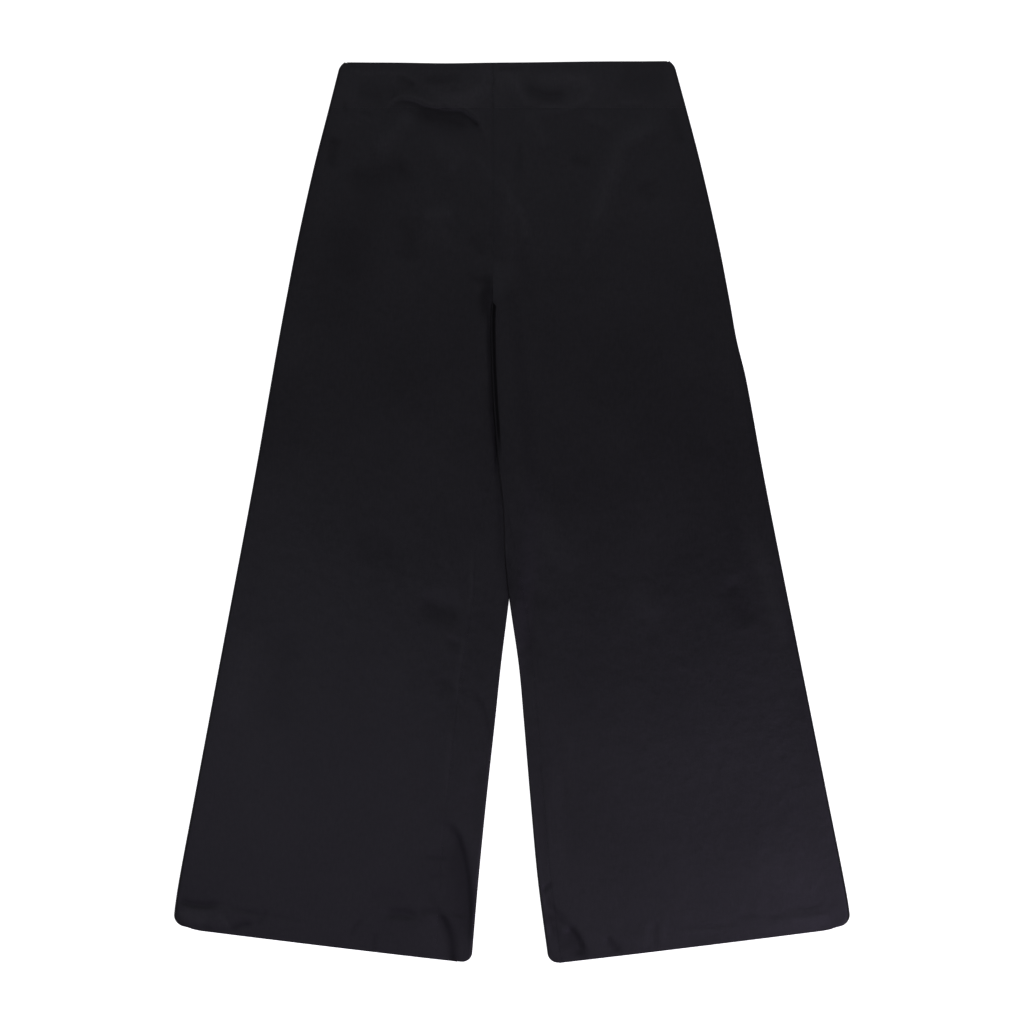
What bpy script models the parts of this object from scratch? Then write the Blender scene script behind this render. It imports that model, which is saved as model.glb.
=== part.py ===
"""Wide-leg trousers laid flat on a surface, front side up, made panel by panel.

Seen from above with the waist away from the viewer: +X is to the right, +Y is
toward the waist and +Z is up. The cloth rests on z = 0, and the origin is the
centre of its footprint. Left and right are as seen from above. Every size below
is in millimetres, and build_mesh turns it to metres.
"""

import math
from bisect import bisect_right
from collections import namedtuple

import bmesh
import bpy

MM = 0.001

# Driving sizes
LENGTH = 1043.0  # top of the waist to the lowest point of the hems
BAND_DEPTH = 53.4  # waistband, top edge to its seam
CROTCH = 276.0  # below the top of the waist, where the four leg panels meet
STRIP_START = 276.7  # the back panels begin to roll on to the front just below it
CENTRE_SEAM = -22.0  # x of the centre-front and centre-back seams as they lie
HEM_END = 1001.5  # below the waist, along the side seam
HEM_SLANT = 41.5  # how much lower the hem ends at the inner leg
SLANT_START = 560.0  # above this the cross rows run square to the length
HEM_DEPTH_OUTER = 31.0  # turned-up hem at the side seam
HEM_DEPTH_INNER = 43.0  # the same at the inner leg, where it has dropped
HEM_STEP = 2.0  # length over which the turned-up hem thickens the wall

# Walls, and the gap kept between any two pieces
CLOTH_WALL = 1.1
BAND_WALL = 1.6  # two layers and their stiffening
HEM_WALL = 2.0  # the cloth and its turned-up layer
GAP = 0.3

# Corners, in plan
WAIST_CORNER = 10.0
HEM_CORNER_OUTER = 14.0
HEM_CORNER_INNER = 10.0
TOP_EDGE_DIP = 3.0  # the top edge sags a little left of the centre seam
TOP_EDGE_DIP_X = -78.0
TOP_EDGE_DIP_REACH = 70.0

# The right leg lies over the left one from the crotch to where they part
OVERLAP_RISE = 3.1
RISE_FROM = 264.0
RISE_FULL = 290.0
FALL_FROM = 624.0
FALL_DONE = 700.0
RISE_SHELF = 4.0  # stays fully raised this far past the left leg's edge
RISE_RAMP = 30.0

# How far the seam's and the side's own heights reach into a panel
SEAM_REACH = 25.0
SIDE_REACH = 30.0
FOLD_CLEAR = 12.0  # folds fade out this near a side seam

# Mesh fineness
FRONT_COLUMNS = 18
BAND_COLUMNS = 10
EDGE_STEPS = 4
TURN_STEPS = 5
STRIP_COLUMNS = 3
COLUMN_BUNCHING = 0.6  # 0 is even columns, near 1 crowds them at the panel's sides
BACK_COLUMNS_NEAR_FOLD = (48.0, 36.0, 26.0, 16.0, 8.0, 0.0)

# x of the two side seams at a distance below the waist
SideRow = namedtuple("SideRow", "down left right")
SIDES = (
    SideRow(0.0, -198.6, 187.3),
    SideRow(53.0, -212.1, 202.2),
    SideRow(120.0, -229.2, 219.6),
    SideRow(206.0, -248.4, 239.1),
    SideRow(276.0, -262.0, 252.6),
    SideRow(322.0, -270.5, 260.8),
    SideRow(368.0, -278.6, 271.9),
    SideRow(484.0, -298.9, 293.1),
    SideRow(670.0, -333.8, 329.9),
    SideRow(855.0, -368.6, 366.8),
    SideRow(948.0, -386.0, 385.4),
    SideRow(985.0, -391.4, 391.6),
    SideRow(1002.0, -391.9, 391.9),
)

# x of each leg's inner fold and of its inseam, which is rolled on to the front
InnerRow = namedtuple("InnerRow", "down left_fold left_inseam right_fold right_inseam")
INNER = (
    InnerRow(276.0, -22.3, -27.0, -21.7, -16.8),
    InnerRow(292.0, -21.8, -26.5, -20.8, -15.8),
    InnerRow(318.0, -17.5, -22.4, -20.8, -15.8),
    InnerRow(345.0, -12.0, -17.5, -20.8, -15.8),
    InnerRow(400.0, -4.0, -12.5, -18.1, -13.0),
    InnerRow(455.0, 1.0, -17.5, -14.7, -9.5),
    InnerRow(516.0, 3.0, -33.0, -10.2, -4.8),
    InnerRow(574.0, 1.0, -42.5, -8.0, 5.5),
    InnerRow(621.0, -3.3, -44.0, -2.9, 14.5),
    InnerRow(700.0, -12.6, -57.0, 8.0, 24.7),
    InnerRow(763.0, -19.2, -64.4, 13.7, 30.0),
    InnerRow(855.0, -29.3, -74.5, 21.4, 36.7),
    InnerRow(948.0, -38.5, -83.5, 30.0, 44.8),
    InnerRow(1043.0, -46.6, -88.5, 42.6, 56.5),
)

# Height of the front's upper face at its inner seam, mid-panel and side seam
LevelRow = namedtuple("LevelRow", "down seam middle side")
LEVELS = (
    LevelRow(0.0, 3.7, 3.7, 4.6),
    LevelRow(53.0, 3.7, 3.7, 4.6),
    LevelRow(120.0, 3.2, 3.2, 4.4),
    LevelRow(276.0, 2.7, 3.0, 4.2),
    LevelRow(640.0, 2.7, 3.0, 4.2),
    LevelRow(760.0, 3.4, 3.2, 4.3),
    LevelRow(860.0, 4.0, 3.5, 4.5),
    LevelRow(955.0, 4.6, 4.6, 4.8),
    LevelRow(1043.0, 4.8, 4.8, 4.9),
)

# The largest folds, each a soft ridge from start to end
FoldRow = namedtuple("FoldRow", "start_x start_down end_x end_down reach height")
FOLDS = (
    FoldRow(-150.0, 34.0, -92.0, 40.0, 17.0, 1.6),  # waist fold, left of centre
    FoldRow(-92.0, 40.0, -40.0, 62.0, 15.0, 2.2),  # the same, toward the centre seam
    FoldRow(50.0, 30.0, 100.0, 22.0, 22.0, 1.2),  # bulge in the right waistband
    FoldRow(160.0, 74.0, 92.0, 210.0, 26.0, 1.4),  # drag from the right hip
    FoldRow(-46.0, 108.0, 14.0, 196.0, 18.0, 1.0),  # drag across the centre seam
    FoldRow(-148.0, 66.0, -164.0, 104.0, 22.0, 1.2),  # bulge under the left waist
    FoldRow(-298.0, 610.0, -318.0, 775.0, 20.0, 1.6),  # left outer leg
    FoldRow(282.0, 490.0, 292.0, 600.0, 18.0, 1.2),  # right outer thigh
    FoldRow(-84.0, 872.0, -66.0, 905.0, 12.0, 1.4),  # left inner hem, upper stretch
    FoldRow(-62.0, 915.0, -56.0, 1010.0, 12.0, 2.0),  # left inner hem, lower stretch
    FoldRow(78.0, 980.0, 96.0, 1012.0, 14.0, 1.2),  # right hem pucker
)

# Cross rows of a leg panel, as distances below the waist along the side seam
ROWS_TO_CROTCH = (53.7, 68.0, 84.0, 106.0, 140.0, 180.0, 225.0, 262.0, 275.4)
ROWS_TO_HEM = (
    *(276.2, 276.8, 292.0, 305.0, 320.0, 345.0, 372.0, 400.0, 428.0, 455.0, 486.0, 516.0),
    *(545.0, 574.0, 598.0, 621.0, 655.0, 700.0, 750.0, 800.0, 845.0, 885.0, 925.0),
)
ROWS_ABOVE_HEM_END = (14.0, 6.0, 1.5, 0.0)
BAND_ROWS = (0.0, 1.5, 5.0, 10.0, 26.0, 42.0, BAND_DEPTH)

# Finish of each piece: linear base colour, roughness and sheen
FinishRow = namedtuple("FinishRow", "colour roughness sheen")
LEG_FINISH = FinishRow((0.0115, 0.0108, 0.0125), 0.46, 0.25)
BAND_FINISH = FinishRow((0.0120, 0.0118, 0.0125), 0.50, 0.20)
BACK_FINISH = FinishRow((0.0105, 0.0100, 0.0112), 0.55, 0.20)


def ease(value):
    """0 below 0, 1 above 1 and a smooth rise between."""
    value = min(max(value, 0.0), 1.0)
    return value * value * (3.0 - 2.0 * value)


def read(table, column, down):
    """A table's column at any distance down, on a smooth curve through its rows."""
    downs = [row.down for row in table]
    k = min(max(bisect_right(downs, down) - 1, 0), len(table) - 2)
    last = len(table) - 1
    below, start, end, above = (table[i] for i in (max(k - 1, 0), k, k + 1, min(k + 2, last)))
    span = end.down - start.down
    value = [getattr(row, column) for row in (below, start, end, above)]
    start_slope = (value[2] - value[0]) / (end.down - below.down) * span
    end_slope = (value[3] - value[1]) / (above.down - start.down) * span
    s = min(max((down - start.down) / span, 0.0), 1.0)
    return (
        value[1] * (1 + 2 * s) * (1 - s) ** 2
        + start_slope * s * (1 - s) ** 2
        + value[2] * s * s * (3 - 2 * s)
        + end_slope * s * s * (s - 1)
    )


def corner_inset(distance, radius):
    """How far a rounded corner has pulled a side in, this far from the panel's end."""
    if distance >= radius:
        return 0.0
    return radius - math.sqrt(radius * radius - (radius - distance) ** 2)


def fold_height(x, down):
    """Height that the folds add at a place on the front."""
    total = 0.0
    for fold in FOLDS:
        run_x = fold.end_x - fold.start_x
        run_down = fold.end_down - fold.start_down
        run_squared = run_x * run_x + run_down * run_down
        along = ((x - fold.start_x) * run_x + (down - fold.start_down) * run_down) / run_squared
        along = min(max(along, 0.0), 1.0)
        away_x = x - fold.start_x - along * run_x
        away_down = down - fold.start_down - along * run_down
        away = math.hypot(away_x, away_down) / fold.reach
        total += fold.height * ease(1.0 - away)
    return total


def crossing_rise(x, down):
    """How far the right leg is raised where it lies over the left one."""
    along = ease((down - RISE_FROM) / (RISE_FULL - RISE_FROM))
    along *= 1.0 - ease((down - FALL_FROM) / (FALL_DONE - FALL_FROM))
    edge = read(INNER, "left_fold", max(down, CROTCH))
    return OVERLAP_RISE * along * (1.0 - ease((x - edge - RISE_SHELF) / RISE_RAMP))


def bunched(count):
    """Shares from 0 to 1, closer together at both ends."""
    shares = []
    for k in range(count + 1):
        u = k / count
        shares.append(u - COLUMN_BUNCHING * math.sin(2 * math.pi * u) / (2 * math.pi))
    return shares


class Leg:
    """One leg's lines: name is left or right, and out is the x direction of its side seam."""

    def __init__(self, name, out):
        self.name = name
        self.out = out

    def slant(self, row):
        return HEM_SLANT * ease((row - SLANT_START) / (HEM_END - SLANT_START)) ** 0.5

    def side_x(self, row):
        inset = corner_inset(HEM_END - row, HEM_CORNER_OUTER)
        return read(SIDES, self.name, row) - self.out * inset

    def fold_x(self, row):
        inset = corner_inset(HEM_END - row, HEM_CORNER_INNER)
        return read(INNER, self.name + "_fold", row + self.slant(row)) + self.out * inset

    def inseam_x(self, row):
        return read(INNER, self.name + "_inseam", row + self.slant(row))

    def down(self, row, x):
        """Distance below the waist of a point on a cross row, which slants near the hem."""
        side = self.side_x(row)
        share = (x - side) / (self.fold_x(row) - side)
        return row + self.slant(row) * min(max(share, 0.0), 1.0)

    def rise(self, x, down):
        return crossing_rise(x, down) if self.name == "right" else 0.0

    def wall(self, row, x):
        side = self.side_x(row)
        share = (x - side) / (self.fold_x(row) - side)
        depth = HEM_DEPTH_OUTER + (HEM_DEPTH_INNER - HEM_DEPTH_OUTER) * share
        turned_up = ease((row - (HEM_END - depth)) / HEM_STEP)
        return CLOTH_WALL + (HEM_WALL - CLOTH_WALL) * turned_up


LEFT = Leg("left", -1.0)
RIGHT = Leg("right", 1.0)


def front_level(x, down, seam_x, side_x):
    """Height of a front piece's upper face."""
    middle = read(LEVELS, "middle", down)
    at_seam = 1.0 - ease(abs(x - seam_x) / SEAM_REACH)
    at_side = 1.0 - ease(abs(x - side_x) / SIDE_REACH)
    level = middle + (read(LEVELS, "seam", down) - middle) * at_seam
    level += (read(LEVELS, "side", down) - middle) * at_side
    return level + fold_height(x, down) * ease(abs(x - side_x) / FOLD_CLEAR)


def turned_down_side(side_x, out, top, floor, wall):
    """Outer and inner points of a front piece's side, rolled down to the back piece."""
    radius = top - floor
    centre_x = side_x - out * radius
    pairs = []
    for step in range(EDGE_STEPS + 1):
        angle = 0.5 * math.pi * step / EDGE_STEPS
        across, up = math.sin(angle), math.cos(angle)
        pairs.append(
            (
                (centre_x + out * radius * across, floor + radius * up),
                (centre_x + out * (radius - wall) * across, floor + (radius - wall) * up),
            )
        )
    return pairs


def top_edge_dip(x, row):
    """The waist's top edge sags a little, and the sag is gone at the waistband's seam."""
    away = (x - TOP_EDGE_DIP_X) / TOP_EDGE_DIP_REACH
    return TOP_EDGE_DIP * math.exp(-away * away) * (1.0 - ease(row / BAND_DEPTH))


def build_mesh(outer, inner):
    """A closed wall between two grids of points, {(row, column): (x, down, z)}.

    A cell exists where all four of its corners do, and each edge with a cell on
    one side only is closed by a rim face.
    """
    bm = bmesh.new()
    verts = []
    for grid in (outer, inner):
        placed = {}
        for key, (x, down, z) in grid.items():
            placed[key] = bm.verts.new((x * MM, (LENGTH / 2 - down) * MM, z * MM))
        verts.append(placed)
    edge_uses = {}
    for row, column in outer:
        corners = [(row, column), (row, column + 1), (row + 1, column + 1), (row + 1, column)]
        if not all(corner in outer for corner in corners):
            continue
        bm.faces.new([verts[0][corner] for corner in corners])
        bm.faces.new([verts[1][corner] for corner in reversed(corners)])
        for start, end in zip(corners, corners[1:] + corners[:1]):
            key = frozenset((start, end))
            edge_uses.setdefault(key, []).append((start, end))
    for uses in edge_uses.values():
        if len(uses) == 1:
            start, end = uses[0]
            bm.faces.new([verts[0][end], verts[0][start], verts[1][start], verts[1][end]])
    bmesh.ops.triangulate(bm, faces=bm.faces[:])
    bmesh.ops.recalc_face_normals(bm, faces=bm.faces[:])
    return bm


def add_piece(name, outer, inner, finish):
    bm = build_mesh(outer, inner)
    mesh = bpy.data.meshes.new(name)
    bm.to_mesh(mesh)
    bm.free()
    material = bpy.data.materials.new(name + "_cloth")
    material.use_nodes = True
    shader = material.node_tree.nodes["Principled BSDF"]
    shader.inputs["Base Color"].default_value = (*finish.colour, 1.0)
    shader.inputs["Roughness"].default_value = finish.roughness
    shader.inputs["Sheen Weight"].default_value = finish.sheen
    mesh.materials.append(material)
    mesh.shade_smooth()
    mesh.set_sharp_from_angle(angle=math.radians(40))
    piece = bpy.data.objects.new(name, mesh)
    bpy.context.scene.collection.objects.link(piece)
    return piece


def leg_rows():
    near_hem = [HEM_END - distance for distance in ROWS_ABOVE_HEM_END]
    hem_line = HEM_END - HEM_DEPTH_OUTER
    return [*ROWS_TO_CROTCH, *ROWS_TO_HEM, hem_line - 12.0, hem_line, hem_line + HEM_STEP, *near_hem]


def add_front(leg):
    """A front leg panel: from the centre seam or inseam out to the rolled side."""
    outer, inner = {}, {}
    for i, row in enumerate(leg_rows()):
        if row < CROTCH:
            seam_x = CENTRE_SEAM + leg.out * GAP / 2
        else:
            seam_x = leg.inseam_x(row) + leg.out * GAP
        side_x = leg.side_x(row)
        side_wall = leg.wall(row, side_x)
        side_floor = side_wall + GAP
        side_top = read(LEVELS, "side", row)
        roll_start = side_x - leg.out * (side_top - side_floor)
        for j, share in enumerate(bunched(FRONT_COLUMNS)):
            x = seam_x + (roll_start - seam_x) * share
            down = leg.down(row, x)
            z = front_level(x, down, seam_x, roll_start) + leg.rise(x, down)
            outer[i, j] = (x, down, z)
            inner[i, j] = (x, down, z - leg.wall(row, x))
        rolled = turned_down_side(side_x, leg.out, side_top, side_floor, side_wall)
        for step, ((x, z), (inner_x, inner_z)) in enumerate(rolled[1:], start=1):
            outer[i, FRONT_COLUMNS + step] = (x, leg.down(row, x), z)
            inner[i, FRONT_COLUMNS + step] = (inner_x, leg.down(row, inner_x), inner_z)
    return add_piece("front_" + leg.name, outer, inner, LEG_FINISH)


def add_back(leg):
    """A back leg panel: flat underneath, and below the crotch rolled round the
    inner leg on to the front as far as the inseam."""
    outer, inner = {}, {}
    for i, row in enumerate(leg_rows()):
        below_crotch = row > STRIP_START
        side_x = leg.side_x(row)
        inner_down = row + leg.slant(row)
        turn = read(LEVELS, "seam", inner_down) / 2
        if below_crotch:
            flat_end = leg.fold_x(row) + leg.out * turn
        else:
            flat_end = CENTRE_SEAM + leg.out * GAP / 2
        width = abs(side_x - flat_end)
        distances = [width, width / 2, *BACK_COLUMNS_NEAR_FOLD]
        for j, distance in enumerate(distances):
            x = flat_end + leg.out * distance
            down = leg.down(row, x)
            z = leg.rise(x, down)
            outer[i, j] = (x, down, z)
            inner[i, j] = (x, down, z + leg.wall(row, x))
        if not below_crotch:
            continue
        wall = leg.wall(row, flat_end)
        column = len(distances)
        for step in range(1, TURN_STEPS + 1):
            angle = math.pi * step / TURN_STEPS
            for grid, radius in ((outer, turn), (inner, turn - wall)):
                x = flat_end - leg.out * radius * math.sin(angle)
                down = leg.down(row, x)
                grid[i, column] = (x, down, turn - radius * math.cos(angle) + leg.rise(x, down))
            column += 1
        inseam_x = leg.inseam_x(row)
        for step in range(1, STRIP_COLUMNS + 1):
            x = flat_end + (inseam_x - flat_end) * step / STRIP_COLUMNS
            down = leg.down(row, x)
            z = 2 * turn + fold_height(x, down) + leg.rise(x, down)
            outer[i, column] = (x, down, z)
            inner[i, column] = (x, down, z - wall)
            column += 1
    return add_piece("back_" + leg.name, outer, inner, BACK_FINISH)


def band_side_x(leg, row):
    return read(SIDES, leg.name, row) - leg.out * corner_inset(row, WAIST_CORNER)


def add_band_front(leg):
    """Half of the front waistband, from the centre seam to the rolled side."""
    outer, inner = {}, {}
    seam_x = CENTRE_SEAM + leg.out * GAP / 2
    for i, row in enumerate(BAND_ROWS):
        side_x = band_side_x(leg, row)
        side_floor = BAND_WALL + GAP
        side_top = read(LEVELS, "side", row)
        roll_start = side_x - leg.out * (side_top - side_floor)
        for j, share in enumerate(bunched(BAND_COLUMNS)):
            x = seam_x + (roll_start - seam_x) * share
            down = row + top_edge_dip(x, row)
            z = front_level(x, down, seam_x, roll_start)
            outer[i, j] = (x, down, z)
            inner[i, j] = (x, down, z - BAND_WALL)
        rolled = turned_down_side(side_x, leg.out, side_top, side_floor, BAND_WALL)
        for step, ((x, z), (inner_x, inner_z)) in enumerate(rolled[1:], start=1):
            outer[i, BAND_COLUMNS + step] = (x, row, z)
            inner[i, BAND_COLUMNS + step] = (inner_x, row, inner_z)
    return add_piece("waistband_front_" + leg.name, outer, inner, BAND_FINISH)


def add_band_back():
    """The back waistband, one flat piece from side to side."""
    outer, inner = {}, {}
    for i, row in enumerate(BAND_ROWS):
        start = band_side_x(LEFT, row)
        end = band_side_x(RIGHT, row)
        for j in range(BAND_COLUMNS + 1):
            x = start + (end - start) * j / BAND_COLUMNS
            down = row + top_edge_dip(x, row)
            outer[i, j] = (x, down, 0.0)
            inner[i, j] = (x, down, BAND_WALL)
    return add_piece("waistband_back", outer, inner, BAND_FINISH)


for leftover in list(bpy.data.objects):
    bpy.data.objects.remove(leftover, do_unlink=True)
for side_of_garment in (LEFT, RIGHT):
    add_back(side_of_garment)
    add_front(side_of_garment)
    add_band_front(side_of_garment)
add_band_back()
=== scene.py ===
import math

import bpy
import numpy as np
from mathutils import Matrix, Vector, noise


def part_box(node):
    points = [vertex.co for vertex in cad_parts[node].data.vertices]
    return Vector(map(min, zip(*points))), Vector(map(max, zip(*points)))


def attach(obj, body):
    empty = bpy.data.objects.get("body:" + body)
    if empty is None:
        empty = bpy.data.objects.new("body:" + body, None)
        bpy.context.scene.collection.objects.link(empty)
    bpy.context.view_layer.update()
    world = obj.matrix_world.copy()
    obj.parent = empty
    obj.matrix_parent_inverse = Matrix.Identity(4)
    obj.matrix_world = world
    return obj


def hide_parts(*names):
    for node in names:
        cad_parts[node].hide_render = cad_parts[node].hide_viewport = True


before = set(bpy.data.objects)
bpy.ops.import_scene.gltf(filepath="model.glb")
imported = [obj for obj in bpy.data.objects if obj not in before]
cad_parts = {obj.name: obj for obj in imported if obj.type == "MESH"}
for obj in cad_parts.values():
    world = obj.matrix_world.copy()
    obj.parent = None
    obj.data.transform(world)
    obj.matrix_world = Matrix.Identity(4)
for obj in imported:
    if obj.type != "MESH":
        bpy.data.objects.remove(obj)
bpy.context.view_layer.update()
print("frame loaded")

# The cloth is laid out in millimetres: x across, down below the waist's top edge, z above the surface.
mm = 0.001
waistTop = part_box("waistband_back")[1].y
bandDepth = (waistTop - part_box("waistband_back")[0].y) / mm

garment = {
    "centreSeam": -22.0,  # x of the centre-front and centre-back seams
    "crotch": 276.0,
    "hemEnd": 1001.5,  # along the side seam
    "hemSlant": 41.5,  # how much lower the hem ends at the inner leg
    "slantStart": 560.0,
    "hemSag": 2.3,  # the hem edge bows down a little across each leg
    "sagStart": 700.0,
    "sagLength": 300.0,
    "sideCorner": 14.0,  # radius of the hem's outer corner
    "innerCorner": 10.0,
    "seamGap": 0.05,  # between the edges of two sewn pieces
    "allowance": 5.0,  # turned in under the next piece
    "cloth": 0.45,  # thickness of one layer
    "hemFold": 0.56,  # radius of the folded hem edge
    "sideSeam": 1.5,  # height of the side seam, where front and back meet
    "curlGap": 0.22,  # between the front's rolled edge and the back's curled one
    "overlapRise": 3.1,  # the right leg lies over the left one
}

sideLines = {  # x of the two sides at distances down
    "down": [0, 53, 120, 206, 276, 322, 368, 484, 670, 855, 948, 985, 1002],
    "left": [
        -198.6, -212.1, -229.2, -248.4, -262.0, -270.5, -278.6,
        -298.9, -333.8, -368.6, -386.0, -391.4, -391.9,
    ],
    "right": [187.3, 202.2, 219.6, 239.1, 252.6, 260.8, 271.9, 293.1, 329.9, 366.8, 385.4, 391.6, 391.9],
}

innerLines = {  # x of each leg's inner fold, and of the inseam that shows beside it
    "down": [276, 292, 318, 345, 400, 455, 516, 574, 621, 700, 763, 855, 948, 1043],
    "leftFold": [-20.6, -16.5, -13.0, -10.0, -4.0, 1.0, 3.0, 1.5, -2.9, -12.6, -19.2, -29.3, -38.5, -46.6],
    "leftInseam": [
        -23.2, -26.5, -22.4, -17.5, -12.5, -17.5, -33.0,
        -42.5, -44.0, -57.0, -64.4, -74.5, -83.5, -88.5,
    ],
    "rightFold": [-23.2, -24.6, -24.6, -24.0, -21.2, -16.8, -10.2, -8.0, -3.3, 8.0, 13.7, 21.4, 30.0, 42.6],
    "rightInseam": [-20.6, -15.8, -15.8, -15.8, -13.0, -9.5, -4.8, 5.5, 14.5, 24.7, 30.0, 36.7, 44.8, 56.5],
}

levels = {  # height of the front at its inner seam, mid-panel and side seam
    "down": [0, 53, 120, 276, 640, 760, 860, 955, 1043],
    "seam": [3.7, 3.7, 3.2, 2.7, 2.7, 3.4, 4.0, 4.6, 4.8],
    "middle": [3.7, 3.7, 3.2, 3.0, 3.0, 3.2, 3.5, 4.6, 4.8],
    "side": [4.6, 4.6, 4.4, 4.2, 4.2, 4.3, 4.5, 4.8, 4.9],
}


def ease(value):  # 0 below 0, 1 above 1 and a smooth rise between
    value = np.clip(value, 0.0, 1.0)
    return value * value * (3.0 - 2.0 * value)


def readLine(table, name, at):  # a smooth curve through a table's values
    knots = np.array(table["down"], float)
    values = np.array(table[name], float)
    at = np.clip(np.asarray(at, float), knots[0], knots[-1])
    k = np.clip(np.searchsorted(knots, at, side="right") - 1, 0, len(knots) - 2)
    before, after = np.maximum(k - 1, 0), np.minimum(k + 2, len(knots) - 1)
    span = knots[k + 1] - knots[k]
    slopeStart = (values[k + 1] - values[before]) / (knots[k + 1] - knots[before]) * span
    slopeEnd = (values[after] - values[k]) / (knots[after] - knots[k]) * span
    s = (at - knots[k]) / span
    return (
        values[k] * (1 + 2 * s) * (1 - s) ** 2
        + slopeStart * s * (1 - s) ** 2
        + values[k + 1] * s * s * (3 - 2 * s)
        + slopeEnd * s * s * (s - 1)
    )


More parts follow.
